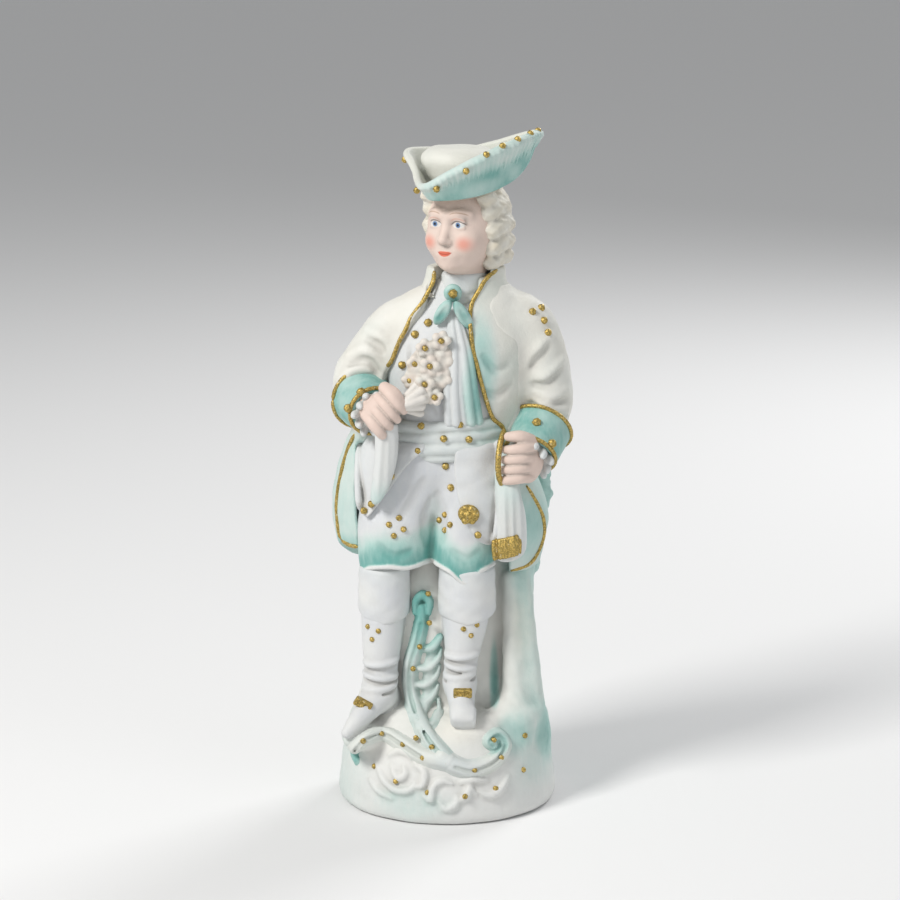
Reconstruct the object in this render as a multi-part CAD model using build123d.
from build123d import *
import os

# Slip-cast bisque figurine of a gallant in a three-cornered hat, coat, waistcoat, breeches and boots,
# standing on a rocaille mound against a tree stump. Millimetres, +Z up, the figure faces -Y, and the
# origin is the middle of the mound's foot ring, on the surface that the figurine stands on.
# Each piece is cast in its own mould, dried to leather hardness and luted to its neighbours with slip.
# "right" and "left" are the figure's own sides: its right side is at -X.

# ---- casting ------------------------------------------------------------------------------------
cast_wall = 3.5          # clay left in the mould by the slip
slip_seam = 0.1          # layer of slip that joins two pieces
drape_wall = 3.0         # coat skirts, flaps and other free edges of cloth
relief = 2.2             # how far the scrollwork stands out of the mound
bead_radius = 1.3        # raised gilt beads
button_radius = 1.9

# ---- heights, from the ground up ----------------------------------------------------------------
base_height = 32.0
boot_height = 63.0
knee_cuff_drop = 18.0
thigh_height = 52.0
sash_height = 12.0
torso_height = 57.0
stock_height = 10.5
head_height = 38.0
hat_height = 14.0

# ---- widths and depths --------------------------------------------------------------------------
base_width = 90.0
base_depth = 87.0
stump_width = 69.0
stump_depth = 44.0
leg_radius = 10.5
thigh_width = 29.0
thigh_depth = 29.0
waist_width = 51.0
waist_depth = 39.0
chest_width = 60.0
chest_depth = 40.0
coat_clearance = 1.2     # air between the waistcoat and the coat at the waist
coat_flare = 17.0        # how much wider each side of the coat is at its hem than at the waist
right_skirt_drop = 45.0  # the right coat skirt, below the waist
left_skirt_drop = 54.0
head_width = 30.0
head_depth = 34.0
hat_crown_radius = 15.0
neck_radius = 9.0
neck_plug_radius = 6.0
sleeve_radius = 12.0
cuff_radius = 13.0
wrist_radius = 6.5
palm_radius = 7.5
finger_radius = 2.1

# ---- stance -------------------------------------------------------------------------------------
stance_middle = -6.0     # x of the line between the legs
leg_forward = -14.0      # y of the shins
head_offset = 8.0        # the head is carried to the figure's left
head_forward = -4.0

# ---- levels worked out from the heights ---------------------------------------------------------
knee_level = base_height + boot_height
waist_level = knee_level + thigh_height
sash_top = waist_level + sash_height
shoulder_level = waist_level + torso_height
chin_level = shoulder_level + stock_height
head_middle = chin_level + head_height * 0.45
hat_level = chin_level + head_height * 0.83
right_leg_x = stance_middle - thigh_width / 2
left_leg_x = stance_middle + thigh_width / 2
half_waist = waist_width / 2
half_chest = chest_width / 2


# ---- shapes -------------------------------------------------------------------------------------
def oval_loft(rings, grow=0.0):
    """A smooth solid through level ovals (x, y, z, half width, half depth), made larger all round by grow."""
    last = len(rings) - 1
    faces = []
    for i, (x, y, z, half_width, half_depth) in enumerate(rings):
        level = z - grow * (i == 0) + grow * (i == last)
        faces.append(Plane((x, y, level)) * Ellipse(half_width + grow, half_depth + grow))
    return loft(faces)


def limb(points, radii, grow=0.0):
    """Cones from point to point with a ball at each point."""
    body = Pos(*points[0]) * Sphere(radii[0] + grow)
    for i in range(1, len(points)):
        start, end = Vector(points[i - 1]), Vector(points[i])
        first, second = radii[i - 1] + grow, radii[i] + grow
        run = Plane(origin=start, z_dir=end - start)
        length = (end - start).length
        low = (Align.CENTER, Align.CENTER, Align.MIN)
        if abs(first - second) < 1e-6:
            body += run * Cylinder(first, length, align=low)
        else:
            body += run * Cone(first, second, length, align=low)
        body += Pos(*points[i]) * Sphere(second)
    return body


def egg(centre, radii, turn=(0, 0, 0), grow=0.0):
    """An ellipsoid with three half axes, turned about X, Y and Z."""
    return Location(centre, turn) * scale(Sphere(1), by=tuple(r + grow for r in radii))


def cone_between(start, end, first, second, grow=0.0):
    """A frustum along the line from start to end."""
    a, b = Vector(start), Vector(end)
    way = (b - a).normalized()
    run = Plane(origin=a - way * grow, z_dir=way)
    low = (Align.CENTER, Align.CENTER, Align.MIN)
    return run * Cone(first + grow, second + grow, (b - a).length + 2 * grow, align=low)


def front_prism(points, near, far, rounded=False):
    """An outline of (x, z) points seen from the front, extruded from y = far to y = near."""
    plane = Plane(origin=(0, far, 0), x_dir=(1, 0, 0), z_dir=(0, -1, 0))
    corners = [(x, z) for x, z in points]
    edge = Spline(*corners, periodic=True) if rounded else Polyline(*corners, close=True)
    return extrude(plane * make_face(edge), far - near)


def largest(shape):
    """The biggest solid of a shape: crumbs that a cut leaves behind are dropped."""
    return max(shape.solids(), key=lambda s: s.volume)


def cut_by(shape, *neighbours):
    """The largest solid of a shape once its neighbours are taken out of it."""
    for other in neighbours:
        shape = largest(shape - other)
    return shape


def front_of(host, x, z):
    """The y of the host's front surface at (x, z)."""
    hits = host.find_intersection_points(Axis((x, -200, z), (0, 1, 0)))
    return min(point.Y for point, _ in hits)


def beads(host, places, radius=bead_radius):
    """Half-sunk gilt beads on the front of a host, as one group of separate solids."""
    found = []
    for x, z in places:
        y = front_of(host, x, z)
        seat = host & (Pos(x, y, z) * Box(6 * radius, 6 * radius, 6 * radius))
        found.append(largest(Pos(x, y, z) * Sphere(radius) - seat))
    return Compound(found)


# ---- the mound and the stump --------------------------------------------------------------------
half_base = base_width / 2
half_base_depth = base_depth / 2
base_rings = [
    (0, 0, 0, half_base - 1.5, half_base_depth - 1.5),
    (0, 0, 3, half_base, half_base_depth),
    (0, 0, base_height * 0.45, half_base - 1.5, half_base_depth - 2),
    (0, 0, base_height * 0.8, half_base - 5, half_base_depth - 6),
    (0, 0, base_height, half_base - 8, half_base_depth - 9),
]
stump_back = 10.0
half_stump = stump_width / 2
half_stump_depth = stump_depth / 2
stump_top = knee_level + 8
stump_rings = [
    (0, stump_back - 2, base_height + slip_seam, half_stump, half_stump_depth),
    (1, stump_back, base_height + boot_height * 0.45, half_stump - 2, half_stump_depth - 3),
    (0, stump_back + 2, stump_top, half_stump - 4, half_stump_depth - 6),
]


def mound_outer(grow=0.0):
    return oval_loft(base_rings, grow)


def stump_outer(grow=0.0):
    return oval_loft(stump_rings, grow)


def inside(rings, floor, roof):
    """The hollow that the slip leaves in a piece, from floor to roof."""
    cavity = oval_loft([(x, y, z, a - cast_wall, b - cast_wall) for x, y, z, a, b in rings])
    slab = Box(400, 400, roof - floor, align=(Align.CENTER, Align.CENTER, Align.MIN))
    return cavity & (Pos(0, 0, floor) * slab)


drain = Pos(0, stump_back, 0) * Cylinder(9, 3 * base_height)
base_hollow = inside(base_rings, -1, base_height - cast_wall)
base_shell = mound_outer() - base_hollow - drain
stump_hollow = inside(stump_rings, 0, stump_top - cast_wall)

# ---- boots, knee cuffs and breeches -------------------------------------------------------------
ankle_level = base_height + 15
right_leg = [
    (right_leg_x - 9, leg_forward - 6, ankle_level),
    (right_leg_x - 5, leg_forward - 2, base_height + boot_height * 0.5),
    (right_leg_x - 1, leg_forward + 3, knee_level - leg_radius),
]
left_leg = [
    (left_leg_x - 2, leg_forward - 8, ankle_level),
    (left_leg_x - 1, leg_forward - 4, base_height + boot_height * 0.5),
    (left_leg_x, leg_forward, knee_level - leg_radius),
]
knee_taper = 0.4
leg_radii = [leg_radius * 0.72, leg_radius * 0.9, leg_radius]
shoe_radii = [leg_radius * 0.72, 4.6]
right_toe = (right_leg_x - 17, leg_forward - 15, base_height + 5)
left_toe = (left_leg_x - 2, leg_forward - 19, base_height + 5)


def boot(leg, toe, grow=0.0):
    """Shin, calf and shoe, cut level below the breeches and above the mound."""
    shape = limb(leg, leg_radii, grow) + limb([leg[0], toe], shoe_radii, grow)
    knee = (leg[2][0], leg[2][1], knee_level)
    shape += cone_between(leg[2], knee, leg_radius - knee_taper, leg_radius - 2 * knee_taper, grow)
    keep = Pos(0, 0, base_height + slip_seam) * Box(
        300, 300, boot_height - slip_seam, align=(Align.CENTER, Align.CENTER, Align.MIN)
    )
    return shape & keep


def knee_cuff_outer(leg, grow=0.0):
    x, y, _ = leg[2]
    start, end = (x, y, knee_level - knee_cuff_drop), (x, y, knee_level - slip_seam)
    return cone_between(start, end, thigh_width / 2 - 2, thigh_width / 2 - 0.5, grow)


right_boot = boot(right_leg, right_toe)
left_boot = boot(left_leg, left_toe)
right_knee_cuff = knee_cuff_outer(right_leg) - boot(right_leg, right_toe, slip_seam)
left_knee_cuff = knee_cuff_outer(left_leg) - boot(left_leg, left_toe, slip_seam)
left_knee_cuff = left_knee_cuff - knee_cuff_outer(right_leg, slip_seam)

half_thigh = thigh_width / 2
half_thigh_depth = thigh_depth / 2
thigh_forward = leg_forward + 4


def thigh(x, hip_x, grow=0.0):
    rings = [
        (x, thigh_forward + 2, knee_level, half_thigh, half_thigh_depth - 0.5),
        (x, thigh_forward + 3, knee_level + thigh_height * 0.4, half_thigh + 2, half_thigh_depth + 1),
        (hip_x, 0, waist_level - 6, half_thigh + 1, half_thigh_depth),
    ]
    return oval_loft(rings, grow)


def breeches_outer(grow=0.0):
    hips = oval_loft(
        [
            (stance_middle + 4, -2, knee_level + thigh_height * 0.55, waist_width * 0.58, waist_depth / 2),
            (0, -1, waist_level, half_waist, waist_depth / 2),
        ],
        grow,
    )
    return thigh(right_leg_x, -11, grow) + thigh(left_leg_x, 10, grow) + hips


breeches_hollow = Pos(0, -1, waist_level - 14) * scale(Sphere(1), by=(17, 12, 16))
breeches = largest(breeches_outer() - breeches_hollow)

tree_stump = stump_outer() - stump_hollow
for neighbour in (boot(right_leg, right_toe, slip_seam), boot(left_leg, left_toe, slip_seam)):
    tree_stump = tree_stump - neighbour
for leg in (right_leg, left_leg):
    tree_stump = tree_stump - knee_cuff_outer(leg, slip_seam)
tree_stump = largest(tree_stump - breeches_outer(slip_seam))

# ---- torso, waistcoat and sash ------------------------------------------------------------------
torso_rings = [
    (0, -1, waist_level + slip_seam, half_waist, waist_depth / 2),
    (0, -1, waist_level + torso_height * 0.3, half_waist - 0.5, waist_depth / 2),
    (2, -1, waist_level + torso_height * 0.65, half_chest - 3, chest_depth / 2 - 1),
    (4, 0, waist_level + torso_height * 0.88, half_chest - 4, chest_depth / 2 - 4),
    (head_offset - 2, head_forward + 1, shoulder_level, neck_radius + 5, neck_radius + 2),
]


def torso_outer(grow=0.0):
    return oval_loft(torso_rings, grow)


torso_hollow = oval_loft([(x, y, z, a - cast_wall, b - cast_wall) for x, y, z, a, b in torso_rings])
neck_top = (head_offset, head_forward, chin_level)
neck_foot = (head_offset - 1, head_forward + 1, shoulder_level + slip_seam)
neck_socket = cone_between(
    (head_offset, head_forward, shoulder_level - 8),
    (head_offset, head_forward, chin_level + 20),
    neck_plug_radius + slip_seam,
    neck_plug_radius + slip_seam + 0.01,
)
neck_block = Cylinder(neck_radius + 8, 2 * cast_wall)
neck_block = Pos(head_offset, head_forward, shoulder_level - cast_wall) * neck_block
waistcoat = torso_outer() - (torso_hollow - neck_block) - neck_socket
neck_stock = cone_between(neck_foot, neck_top, neck_radius + 2.5, neck_radius + 1) - neck_socket
neck_stock = largest(neck_stock - torso_outer(slip_seam))


def sash_outer(grow=0.0):
    rings = [
        (0, -1, waist_level - 2, half_waist + 3.0, waist_depth / 2 + 3.0),
        (0, -1, waist_level + sash_height / 2, half_waist + 3.6, waist_depth / 2 + 3.6),
        (0, -1, sash_top, half_waist + 2.5, waist_depth / 2 + 2.5),
    ]
    return oval_loft(rings, grow)


sash_bore = oval_loft(
    [
        (0, -1, waist_level - 4, half_waist + 1.0, waist_depth / 2 + 1.0),
        (0, -1, sash_top + 2, half_waist + 0.3, waist_depth / 2 + 0.3),
    ]
)
sash = largest(sash_outer() - sash_bore)

# ---- coat ---------------------------------------------------------------------------------------
hem_level = waist_level - left_skirt_drop
coat_waist = half_waist + 4 + coat_clearance
coat_waist_depth = waist_depth / 2 + 4 + coat_clearance
coat_rings = [
    (-3, 3, hem_level, coat_waist + coat_flare * 0.75, coat_waist_depth + 5),
    (-3, 2, waist_level - left_skirt_drop * 0.45, coat_waist + coat_flare * 0.7, coat_waist_depth + 3),
    (0, 0, waist_level + sash_height / 2, coat_waist + drape_wall, coat_waist_depth + drape_wall),
    (2, 0, waist_level + torso_height * 0.62, half_chest + 2, chest_depth / 2 + 3),
    (4, 1, shoulder_level - 5, half_chest - 1, chest_depth / 2 - 1),
    (head_offset - 1, head_forward + 2, shoulder_level + 5, neck_radius + 5, neck_radius + 4),
]


def coat_outer(grow=0.0):
    return oval_loft(coat_rings, grow)


coat_inner = oval_loft([(x, y, z, a - drape_wall, b - drape_wall) for x, y, z, a, b in coat_rings], 0.2)
coat_shell = coat_outer() - coat_inner - torso_outer(slip_seam) - sash_outer(slip_seam)
coat_shell = coat_shell - cone_between(neck_foot, neck_top, neck_radius + 2.6, neck_radius + 1.1, slip_seam)
opening = [
    (-6, chin_level + 6),
    (head_offset + 10, chin_level + 6),
    (head_offset + 4, shoulder_level - 6),
    (head_offset + 3, waist_level + torso_height * 0.6),
    (half_waist - 8, waist_level + 4),
    (half_waist - 5, waist_level - 6),
    (-half_waist, waist_level - 6),
    (-half_waist + 2, waist_level + torso_height * 0.4),
    (-15, shoulder_level - 10),
    (-9, shoulder_level),
]
coat_top = coat_shell - front_prism(opening, -60, 0)


def slab(low, high):
    return Pos(0, 0, low) * Box(300, 300, high - low, align=(Align.CENTER, Align.CENTER, Align.MIN))


def region(x_low, x_high, y_low, y_high, z_low, z_high):
    """A block between six planes."""
    size = (x_high - x_low, y_high - y_low, z_high - z_low)
    middle = ((x_low + x_high) / 2, (y_low + y_high) / 2, (z_low + z_high) / 2)
    return Pos(*middle) * Box(*size)


skirt_level = waist_level - 1
front_edge = -6.0
coat_body = largest(coat_top & slab(skirt_level + slip_seam, shoulder_level + 20))
right_hem = [
    (-100, waist_level - right_skirt_drop),
    (-14, waist_level - right_skirt_drop - 3),
    (-14, skirt_level),
    (-100, skirt_level),
]
tail_half = 18.0
coat_right_skirt = largest(coat_shell & front_prism(right_hem, front_edge, 14))
coat_left_skirt = largest(coat_shell & region(14, 100, front_edge - 8, 14, hem_level - 1, skirt_level))
coat_tails = coat_shell & region(-100, 100, 14 + slip_seam, 100, hem_level - 1, skirt_level)
coat_tails = largest(coat_tails)
for skirt_neighbour in (breeches_outer(slip_seam), stump_outer(slip_seam)):
    coat_tails = largest(coat_tails - skirt_neighbour)
    coat_right_skirt = largest(coat_right_skirt - skirt_neighbour)
    coat_left_skirt = largest(coat_left_skirt - skirt_neighbour)

# ---- waistcoat skirts, sash tail, handkerchief, frill ---------------------------------------------
def layer(outer, outline, thickness, near=-60.0, far=-4.0):
    """A flap of cloth that lies on a form: the outline seen from the front, as thick as stated."""
    sheet = outer(slip_seam + thickness) & front_prism(outline, near, far)
    return largest(sheet - outer(slip_seam))


right_flap = [
    (-10, waist_level - 2.5),
    (-17, waist_level - 9),
    (-33, waist_level - 28),
    (-35, waist_level - 22),
    (-34, waist_level - 8),
    (-24, waist_level - 2.5),
]
left_flap = [
    (5, waist_level - 2.5),
    (4, waist_level - 16),
    (10, waist_level - 34),
    (16, waist_level - 36),
    (21, waist_level - 16),
    (20, waist_level - 2.5),
]
flap_wall = drape_wall - 0.8
waistcoat_right_flap = layer(breeches_outer, right_flap, flap_wall)
waistcoat_left_flap = layer(breeches_outer, left_flap, flap_wall)
coat_right_skirt = largest(coat_right_skirt - waistcoat_right_flap)

palm_drop = 6.0          # the hands are held this far below the waist line's top
left_palm = (28.5, -25.0, waist_level - palm_drop + 1)
right_palm = (-25.0, -27.5, waist_level + sash_height + 3)
tail_wall = flap_wall + 0.6
tail_low = waist_level - 40
tail_shape = [
    (left_palm[0] - 8, left_palm[2] - 12),
    (left_palm[0] + 1, left_palm[2] - 12),
    (left_palm[0] + 4, tail_low + 10),
    (left_palm[0] + 1, tail_low + 7),
    (left_palm[0] - 9, tail_low + 5),
    (left_palm[0] - 11, tail_low + 13),
]
fringe_shape = [
    (left_palm[0] - 10, tail_low + 4.8),
    (left_palm[0] + 2, tail_low + 6.8),
    (left_palm[0] + 1, tail_low),
    (left_palm[0] - 9, tail_low - 2),
]


def over_flaps(grow=0.0):
    return breeches_outer(flap_wall + slip_seam + grow)


sash_tail = layer(over_flaps, tail_shape, tail_wall)
sash_fringe = layer(over_flaps, fringe_shape, tail_wall + 0.6)
sash_fringe = largest(sash_fringe - waistcoat_left_flap)
hanky_shape = [
    (right_palm[0] - 5, right_palm[2] - 8),
    (right_palm[0] + 6, right_palm[2] - 8),
    (right_palm[0] + 5, right_palm[2] - 22),
    (right_palm[0], right_palm[2] - 34),
    (right_palm[0] - 8, right_palm[2] - 30),
    (right_palm[0] - 8, right_palm[2] - 15),
]


def over_sash(grow=0.0):
    return sash_outer(grow) + breeches_outer(flap_wall + grow)


handkerchief = layer(over_sash, hanky_shape, drape_wall)
frill_shape = [
    (1, shoulder_level - 8),
    (11, shoulder_level - 8),
    (13, waist_level + 32),
    (14, sash_top + 0.5),
    (3, sash_top + 0.5),
    (3, waist_level + 32),
]
shirt_frill = layer(torso_outer, frill_shape, flap_wall)
shirt_frill = cut_by(shirt_frill, sash_outer(slip_seam), coat_body)

# ---- neckcloth ----------------------------------------------------------------------------------
bow_level = shoulder_level - 5.5
bow_front = front_of(torso_outer(), 2, bow_level) - 1.5
bow_knot = (2.3, bow_front - 1, bow_level + 5.5)
cravat_bow = Pos(*bow_knot) * Sphere(3)
cravat_bow += egg((-1.8, bow_front, bow_level + 0.5), (3.8, 2.4, 6.2), (0, 35, 0))
cravat_bow += egg((6.6, bow_front, bow_level - 0.5), (3.8, 2.4, 6.4), (0, -22, 0))
cravat_bow = cut_by(cravat_bow, torso_outer(slip_seam), shirt_frill, neck_stock, coat_body)
brooch_at = (bow_knot[0], bow_knot[1] - 2.2, bow_knot[2])
cravat_brooch = largest(Pos(*brooch_at) * Sphere(1.7) - cravat_bow)
collar_foot = (head_offset - 1, head_forward + 3, shoulder_level - 1)
collar_top = (head_offset, head_forward + 1, chin_level - 2)
collar_wall = drape_wall
coat_collar = cone_between(collar_foot, collar_top, neck_radius + 7, neck_radius + 4.6)
coat_collar = coat_collar - cone_between(neck_foot, neck_top, neck_radius + 2.7, neck_radius + 1.2, slip_seam)
coat_collar = coat_collar - front_prism(opening, -60, -3)
coat_collar = cut_by(coat_collar, torso_outer(slip_seam), coat_body, cravat_bow)

# ---- arms ---------------------------------------------------------------------------------------
right_arm = [
    (-24, 1, shoulder_level - 12),
    (-34.5, 1, waist_level + 24),
    (-30.5, -16, waist_level + 17.5),
]
left_arm = [
    (28, 1, shoulder_level - 12),
    (38.5, 2, waist_level + 14),
    (34.5, -12, waist_level + 1),
]
arm_radii = [sleeve_radius, sleeve_radius - 0.5, cuff_radius - 4]


def sleeve_outer(arm, grow=0.0):
    return limb(arm, arm_radii, grow)


def cuff_outer(arm, grow=0.0):
    """The turned-back cuff: a flared band round the forearm that opens towards the elbow."""
    elbow, wrist = Vector(arm[1]), Vector(arm[2])
    start = elbow + (wrist - elbow) * 0.42
    end = wrist + (wrist - elbow).normalized() * 2.5
    return cone_between(start, end, cuff_radius, cuff_radius - 2.5, grow)


def wrist_frill_outer(arm, palm, grow=0.0):
    wrist, hand = Vector(arm[2]), Vector(palm)
    way = (hand - wrist).normalized()
    start = wrist + way * 2.6
    return cone_between(start, hand, wrist_radius + 2, wrist_radius + 0.5, grow)


def hand_outer(palm, knuckles, thumb, grow=0.0):
    """A closed fist: a palm, four bent fingers and a thumb."""
    shape = egg(palm, (palm_radius - 0.5, palm_radius - 1.5, palm_radius), (0, 0, 0), grow)
    for start, end in knuckles:
        shape += limb([start, end], [finger_radius, finger_radius - 0.3], grow)
    return shape + limb(thumb, [finger_radius + 0.2, finger_radius - 0.2], grow)


def shifted(point, dx, dy, dz):
    return (point[0] + dx, point[1] + dy, point[2] + dz)


finger_pitch = 2 * finger_radius - 0.6
right_fingers = [
    (
        shifted(right_palm, 2.5 + i * 0.8, -5.5, 1 - finger_pitch * (i - 1.5) * 0.35 - i),
        shifted(right_palm, -1.5 + i * 1.6, -4.5, -5.5 - i * 0.3),
    )
    for i in range(4)
]
left_fingers = [
    (
        shifted(left_palm, 3.0, -5.2, 5.4 - finger_pitch * i),
        shifted(left_palm, -5.0, -4.6, 4.2 - finger_pitch * i),
    )
    for i in range(4)
]
right_thumb = [shifted(right_palm, 1, -3, 4), shifted(right_palm, 6.5, -4.5, 0.5)]
left_thumb = [shifted(left_palm, -1, -2, 6), shifted(left_palm, -5, -4, 8)]


def right_hand_outer(grow=0.0):
    return hand_outer(right_palm, right_fingers, right_thumb, grow)


def left_hand_outer(grow=0.0):
    return hand_outer(left_palm, left_fingers, left_thumb, grow)


right_hand = cut_by(right_hand_outer(), over_sash(slip_seam), torso_outer(slip_seam))
left_hand = cut_by(left_hand_outer(), over_sash(slip_seam), sash_tail)
handkerchief = cut_by(handkerchief, right_hand_outer(slip_seam), coat_right_skirt, waistcoat_right_flap)
right_wrist_frill = cut_by(
    wrist_frill_outer(right_arm, right_palm), right_hand_outer(slip_seam), over_sash(slip_seam)
)
left_wrist_frill = cut_by(
    wrist_frill_outer(left_arm, left_palm), left_hand_outer(slip_seam), over_sash(slip_seam)
)
right_cuff = cut_by(
    cuff_outer(right_arm),
    wrist_frill_outer(right_arm, right_palm, slip_seam),
    right_hand_outer(slip_seam),
    torso_outer(slip_seam),
    sash_outer(slip_seam),
)
left_cuff = cut_by(
    cuff_outer(left_arm),
    wrist_frill_outer(left_arm, left_palm, slip_seam),
    left_hand_outer(slip_seam),
    torso_outer(slip_seam),
    over_sash(slip_seam),
)
right_sleeve = cut_by(
    sleeve_outer(right_arm), cuff_outer(right_arm, slip_seam), torso_outer(slip_seam), sash_outer(slip_seam)
)
right_sleeve = cut_by(right_sleeve, wrist_frill_outer(right_arm, right_palm, slip_seam))
left_sleeve = cut_by(
    sleeve_outer(left_arm), cuff_outer(left_arm, slip_seam), torso_outer(slip_seam), sash_outer(slip_seam)
)
left_sleeve = cut_by(left_sleeve, wrist_frill_outer(left_arm, left_palm, slip_seam))
for arm, palm in ((right_arm, right_palm), (left_arm, left_palm)):
    coat_body = cut_by(coat_body, sleeve_outer(arm, slip_seam), cuff_outer(arm, slip_seam))
    coat_body = cut_by(coat_body, wrist_frill_outer(arm, palm, slip_seam))
coat_body = cut_by(coat_body, left_hand_outer(slip_seam), right_hand_outer(slip_seam))
handkerchief = cut_by(handkerchief, coat_body)
coat_collar = cut_by(coat_collar, coat_body)
for arm in (right_arm, left_arm):
    coat_right_skirt = cut_by(coat_right_skirt, cuff_outer(arm, slip_seam))
    coat_left_skirt = cut_by(coat_left_skirt, cuff_outer(arm, slip_seam))
coat_left_skirt = cut_by(coat_left_skirt, left_hand_outer(slip_seam), sash_tail, waistcoat_left_flap)
coat_left_skirt = cut_by(coat_left_skirt, sash_fringe, left_wrist_frill)

# ---- posy in the right hand ---------------------------------------------------------------------
posy_heart = (-4.5, front_of(torso_outer(), -4, waist_level + 36) - 4.5, waist_level + 36)
blossom_radius = 5.2
posy = Pos(*posy_heart) * Sphere(blossom_radius)
for dx, dy, dz in ((5, 0.5, 5), (-4, 0.5, -5), (4.5, 0, -4), (1, 0.5, 9), (1.5, 0, -10)):
    posy += Pos(*shifted(posy_heart, dx, dy, dz)) * Sphere(blossom_radius - 0.6)
posy = cut_by(posy, torso_outer(slip_seam), shirt_frill, coat_body)
posy_wrap = cone_between(shifted(right_palm, 5, 0, 2), shifted(posy_heart, 0, 0.5, -5), 3.6, 7.5)
posy_wrap = cut_by(posy_wrap, posy, right_hand_outer(slip_seam), torso_outer(slip_seam), right_wrist_frill)
posy_wrap = cut_by(posy_wrap, shirt_frill, sash_outer(slip_seam))

# ---- head and wig -------------------------------------------------------------------------------
face_turn = -30.0        # the face looks this far to the figure's right
head_at = (head_offset, head_forward, head_middle)
half_head = (head_width / 2, head_depth / 2, head_height / 2)
plug_depth = 6.0
face = Location(head_at, (0, 0, face_turn))


def skull(grow=0.0):
    """The head without its neck plug: cranium, jaw and nose."""
    shape = face * scale(Sphere(1), by=tuple(r + grow for r in half_head))
    jaw = Pos(0, -half_head[1] * 0.33, -half_head[2] * 0.5)
    shape += face * (jaw * scale(Sphere(1), by=(9 + grow, 10 + grow, 9.2 + grow)))
    return shape


nose = face * egg((0, -half_head[1] - 0.4, -2.5), (1.9, 2.6, 3.6), (20, 0, 0))
neck = cone_between(
    (head_offset, head_forward, chin_level - 0.4), head_at, neck_radius - 0.6, neck_radius - 1.5
)
plug_bottom = (head_offset, head_forward, chin_level - plug_depth)
neck_plug = cone_between(plug_bottom, head_at, neck_plug_radius - 0.01, neck_plug_radius)
head_hollow = Pos(*head_at) * Sphere(half_head[0] - cast_wall)
head_drain = Pos(head_offset, head_forward, head_middle - head_height / 2) * Cylinder(3, head_height)
neck = cut_by(neck, neck_stock)
head = skull() + nose + neck + neck_plug - head_hollow - head_drain
head = cut_by(head & slab(plug_bottom[2], hat_level + 20), neck_stock)


def wig_outer(grow=0.0):
    """The dressed hair: a cap over the back of the head, with three rolls at each side."""
    middle = shifted(head_at, 1.2, 3.0, 0.5)
    shape = egg(middle, (half_head[0] + 2.2, half_head[1] + 0.5, half_head[2]), (0, 0, face_turn), grow)
    for side in (-1, 1):
        for level in range(3):
            at = (side * (half_head[0] + 0.4 - level * 0.7), 1.5 + level * 1.2, 5.5 - level * 6.4)
            shape += face * (Pos(*at) * Sphere(4.4 + grow))
    return shape


face_window = face * (Pos(0, -half_head[1] - 3, -3) * Box(2 * half_head[0] - 3, half_head[1] * 1.7, 60))
wig = wig_outer() - skull(slip_seam) - face_window
wig = largest(wig & slab(chin_level - 1.5, hat_level + 20))
wig = cut_by(wig, neck, coat_collar, neck_stock)
queue_root = face * Pos(0, half_head[1] + 3, -9)
queue_at = tuple(queue_root.position)
queue_low = (queue_at[0] - 3, coat_rings[4][4] + 1.0, shoulder_level - 2)
wig_queue = limb([queue_at, queue_low, shifted(queue_low, 0, 1.5, -14)], [4.2, 3.4, 1.8])
wig_queue = cut_by(wig_queue, wig, coat_body, coat_collar)
ribbon_at = shifted(queue_at, -0.5, 4.6, -3)
queue_ribbon = limb([shifted(ribbon_at, -6, 0, 1.5), ribbon_at], [2.8, 1.6])
queue_ribbon += limb([ribbon_at, shifted(ribbon_at, 6, 0, 1.2)], [1.6, 2.8])
queue_ribbon = cut_by(queue_ribbon, wig, wig_queue, coat_collar, coat_body)

# ---- hat ----------------------------------------------------------------------------------------
hat_origin = (head_offset + 1, head_forward + 2, hat_level)
hat_plane = Plane(origin=hat_origin, x_dir=(1, 0, 0.148), z_dir=(-0.138, -0.331, 0.934))
brim_wall = 2.6
band_radius = hat_crown_radius + 1.5
corner_rise = 12.0
flap_rise = 3.0
# each brim point: angle round the crown, reach of the rim
rim = [(16, 30.5), (84, 20.5), (152, 31), (191, 21), (230, 33), (303, 20.5)]


def ring(radii, level):
    """A closed smooth outline at a level above the hat's base plane."""
    points = [(Vector(radius, 0).rotate(Axis.Z, angle)) for angle, radius in radii]
    return hat_plane * (Pos(0, 0, level) * make_face(Spline(*[(p.X, p.Y) for p in points], periodic=True)))


def tray(inset, low, high):
    """A three-cornered tray, wide at the rim and narrow at the band."""
    foot = ring([(angle, band_radius - inset) for angle, _ in rim], low)
    top = ring([(angle, reach - inset) for angle, reach in rim], high)
    return loft([foot, top])


hat_brim = tray(0, 0, corner_rise) - tray(brim_wall, 1.6, corner_rise + 0.01)
crown_rise = hat_height
crown_floor = 1.8
upright = (Align.CENTER, Align.CENTER, Align.MIN)
hat_crown = Cone(hat_crown_radius - 2, hat_crown_radius - 3.5, crown_rise - crown_floor, align=upright)
hat_crown = hat_plane * Pos(0, 0, crown_floor) * hat_crown
hat_crown = largest(hat_crown - hat_brim)
above_band = hat_plane * Pos(0, 0, -slip_seam) * Cylinder(60, 60, align=upright)
head = largest(head - above_band)
wig = largest(wig - above_band)
rim_points = []
for angle, reach in [(230, 32), (255, 24.5), (280, 20.8), (303, 20), (330, 22), (355, 27), (16, 29.5)]:
    spot = hat_plane * (Pos(Vector(reach, 0).rotate(Axis.Z, angle)) * Pos(0, 0, corner_rise + 0.6))
    rim_points.append(tuple(spot.position))
hat_plume = limb(rim_points, [1.9, 2.4, 2.8, 2.9, 2.8, 2.5, 1.9])
hat_plume = cut_by(hat_plume, hat_brim, hat_crown)

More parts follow.
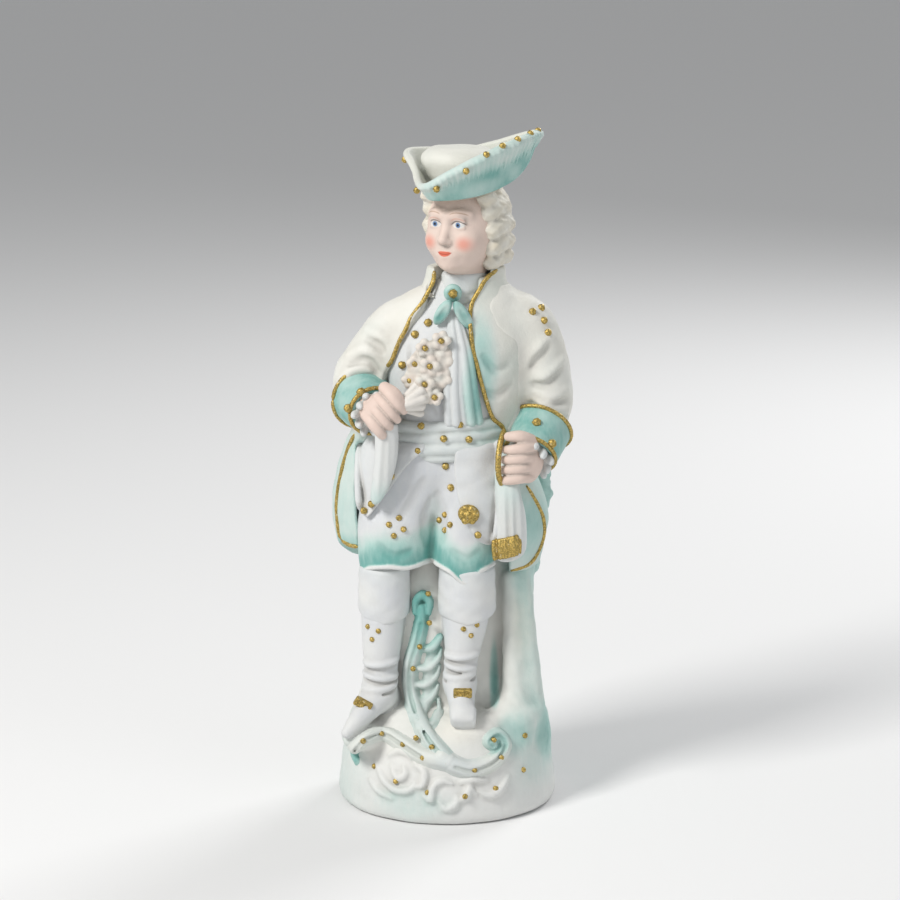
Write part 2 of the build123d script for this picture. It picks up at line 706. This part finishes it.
# ---- rocaille scrolls ---------------------------------------------------------------------------
mound_grown = mound_outer(slip_seam)
stump_grown = stump_outer(slip_seam)


def scroll(points, radii):
    """A tapered rib along the points, each span cut back from the mound and the stump by itself."""
    body = None
    for i in range(len(points) - 1):
        span = limb(points[i : i + 2], radii[i : i + 2]) - mound_grown - stump_grown
        body = span if body is None else body + span
    return largest(body)




def on_mound(x, z, proud):
    """A point that stands out of the mound's front by the stated amount."""
    return (x, front_of(mound_grown, x, z) - proud, z)


def on_stump(x, z, proud):
    return (x, front_of(stump_grown, x, z) - proud, z)


stem_top = stump_top - 14
scroll_stem = scroll(
    [
        on_stump(-7.5, stem_top, 0.5),
        on_stump(-11.5, stem_top - 5, 0.5),
        on_stump(-8.5, stem_top - 16, 0.8),
        on_stump(-12, base_height + 26, 1.5),
        on_stump(-15, base_height + 12, 3),
        (-13, -30, base_height + 2),
        on_mound(-6, base_height - 4, 0),
    ],
    [2, 2.4, 3.2, 3.6, 4, 4.2, 4.4],
)
scroll_right = scroll(
    [
        on_mound(-3, base_height - 7, 0),
        on_mound(-14, base_height - 3, 0),
        on_mound(-25, base_height - 1.5, 0),
        on_mound(-34, base_height - 5, 0.5),
        on_mound(-38, base_height - 14, 0),
    ],
    [relief + 1.8, relief + 1.4, relief + 1, relief + 0.6, relief - 0.4],
)
scroll_left = scroll(
    [
        on_mound(0.5, base_height - 8, 0.2),
        on_mound(11, base_height - 10.2, 0.3),
        on_mound(20, base_height - 8, 0.4),
        on_mound(24, base_height - 3, 0.6),
        (19, -31.2, base_height + 1.7),
    ],
    [relief + 1.8, relief + 1.4, relief + 1, relief + 0.6, relief + 0.4],
)
shell_spine = [(-24, 14), (-15, 12.5), (-6, 9), (6, 8), (16, 11), (22, 15)]
shell_radii = [relief - 0.4, relief, relief + 0.3, relief, relief, relief - 0.6]
scroll_foliage = scroll([on_mound(x, z, -0.6) for x, z in shell_spine], shell_radii)
scroll_stem = cut_by(scroll_stem, mound_grown, stump_grown, right_boot, left_boot)
for leg in (right_leg, left_leg):
    scroll_stem = cut_by(scroll_stem, knee_cuff_outer(leg, slip_seam))
scroll_right = cut_by(scroll_right, mound_grown, scroll_stem, right_boot)
scroll_left = cut_by(scroll_left, mound_grown, left_boot, scroll_right, scroll_stem)
scroll_foliage = cut_by(scroll_foliage, mound_grown, scroll_left, scroll_right, scroll_stem)

# a broken branch stump that rises behind the left hip, outside the coat
branch_spine = [(34, 21, stump_top - 9), (40, 17, stump_top + 8), (42, 15.5, stump_top + 24)]
stump_branch = limb(branch_spine, [7.5, 5, 3])
stump_branch = cut_by(stump_branch, stump_grown, coat_tails, coat_left_skirt)

# ---- buckles, buttons and gilt beads --------------------------------------------------------------
buckle_width = 6.4
buckle_height = 3.6


def buckle(host, x, z, tilt):
    y = front_of(host, x, z)
    plate = Location((x, y, z), (0, tilt, 0)) * Box(buckle_width, 2.4, buckle_height)
    return largest(plate - host)


right_shoe_buckle = buckle(right_boot, right_leg[0][0] - 2, ankle_level - 2, 25)
left_shoe_buckle = buckle(left_boot, left_leg[0][0], ankle_level + 1, 0)
fob_level = waist_level - 25
watch_fob = Pos(8.5, front_of(waistcoat_left_flap, 9, fob_level), fob_level) * Sphere(3.4)
watch_fob = cut_by(watch_fob, over_flaps(slip_seam), waistcoat_left_flap, sash_tail)
waistcoat_buttons = beads(
    torso_outer(), [(-8.5, shoulder_level - 8.5), (-12.5, shoulder_level - 13.5)], button_radius
)
left_cuff_buttons = beads(
    cuff_outer(left_arm), [(36, left_arm[2][2] + 8), (41, left_arm[2][2] + 1)], button_radius
)
right_cuff_buttons = beads(
    cuff_outer(right_arm), [(-38, right_arm[2][2] + 6), (-38, right_arm[2][2] - 5)], button_radius
)
sash_beads = beads(
    sash_outer(), [(-10, sash_top - 3), (-1.5, sash_top - 7), (5, sash_top - 3), (8.5, sash_top - 8)]
)
breeches_buttons = beads(breeches, [(-0.6, waist_level - 7), (1.5, waist_level - 15)], bead_radius)
small_bead = bead_radius - 0.2
thigh_level = waist_level - 30
right_thigh = [(-18.8, thigh_level + 3), (-22.7, thigh_level + 0.5), (-17.2, thigh_level - 1.5)]
left_thigh = [(-0.8, thigh_level + 3.5), (-3, thigh_level + 1), (1.2, thigh_level)]
thigh_beads = beads(
    breeches, right_thigh + left_thigh + [(-20.8, thigh_level - 4), (-0.8, thigh_level - 2.5)], small_bead
)
shoulder_beads = beads(
    left_sleeve, [(30, shoulder_level - 6), (34, shoulder_level - 9), (36, shoulder_level - 14)]
)
calf_level = base_height + 40
right_stocking_beads = beads(
    right_boot, [(-27, calf_level + 1), (-23, calf_level), (-25, calf_level - 3.5)], small_bead
)
left_stocking_beads = beads(
    left_boot, [(5, calf_level + 1), (10, calf_level + 1.5), (8, calf_level - 2.5)], small_bead
)
stem_beads = beads(scroll_stem, [(-8, stem_top), (-9, stem_top - 14), (-11, stem_top - 25)], small_bead)
right_scroll_beads = [(-10, base_height - 4), (-18, base_height - 2), (-25, base_height - 3)]
left_scroll_beads = [(4, base_height - 9), (12, base_height - 10), (21, base_height - 7)]
right_scroll_set = beads(scroll_right, right_scroll_beads, small_bead)
left_scroll_set = beads(scroll_left, left_scroll_beads, small_bead)
scroll_beads = Compound(right_scroll_set.solids() + left_scroll_set.solids())
base_beads = beads(base_shell, [(31, base_height - 3), (30, base_height - 14)], small_bead)
left_wrist_frill = cut_by(left_wrist_frill, left_cuff_buttons)

nodes = {
    "base_shell": base_shell,
    "tree_stump": tree_stump,
    "stump_branch": stump_branch,
    "right_boot": right_boot,
    "left_boot": left_boot,
    "right_knee_cuff": right_knee_cuff,
    "left_knee_cuff": left_knee_cuff,
    "right_shoe_buckle": right_shoe_buckle,
    "left_shoe_buckle": left_shoe_buckle,
    "breeches": breeches,
    "waistcoat": waistcoat,
    "waistcoat_right_flap": waistcoat_right_flap,
    "waistcoat_left_flap": waistcoat_left_flap,
    "watch_fob": watch_fob,
    "sash": sash,
    "sash_tail": sash_tail,
    "sash_fringe": sash_fringe,
    "coat_body": coat_body,
    "coat_collar": coat_collar,
    "coat_right_skirt": coat_right_skirt,
    "coat_left_skirt": coat_left_skirt,
    "coat_tails": coat_tails,
    "right_sleeve": right_sleeve,
    "left_sleeve": left_sleeve,
    "right_cuff": right_cuff,
    "left_cuff": left_cuff,
    "right_wrist_frill": right_wrist_frill,
    "left_wrist_frill": left_wrist_frill,
    "right_hand": right_hand,
    "left_hand": left_hand,
    "handkerchief": handkerchief,
    "posy": posy,
    "posy_wrap": posy_wrap,
    "neck_stock": neck_stock,
    "cravat_bow": cravat_bow,
    "cravat_brooch": cravat_brooch,
    "shirt_frill": shirt_frill,
    "head": head,
    "wig": wig,
    "wig_queue": wig_queue,
    "queue_ribbon": queue_ribbon,
    "hat_crown": hat_crown,
    "hat_brim": hat_brim,
    "hat_plume": hat_plume,
    "scroll_stem": scroll_stem,
    "scroll_right": scroll_right,
    "scroll_left": scroll_left,
    "scroll_foliage": scroll_foliage,
    "waistcoat_buttons": waistcoat_buttons,
    "right_cuff_buttons": right_cuff_buttons,
    "left_cuff_buttons": left_cuff_buttons,
    "sash_beads": sash_beads,
    "breeches_buttons": breeches_buttons,
    "thigh_beads": thigh_beads,
    "shoulder_beads": shoulder_beads,
    "right_stocking_beads": right_stocking_beads,
    "left_stocking_beads": left_stocking_beads,
    "stem_beads": stem_beads,
    "scroll_beads": scroll_beads,
    "base_beads": base_beads,
}

os.makedirs("parts", exist_ok=True)
for name, shape in nodes.items():
    export_step(shape, f"parts/{name}.step")
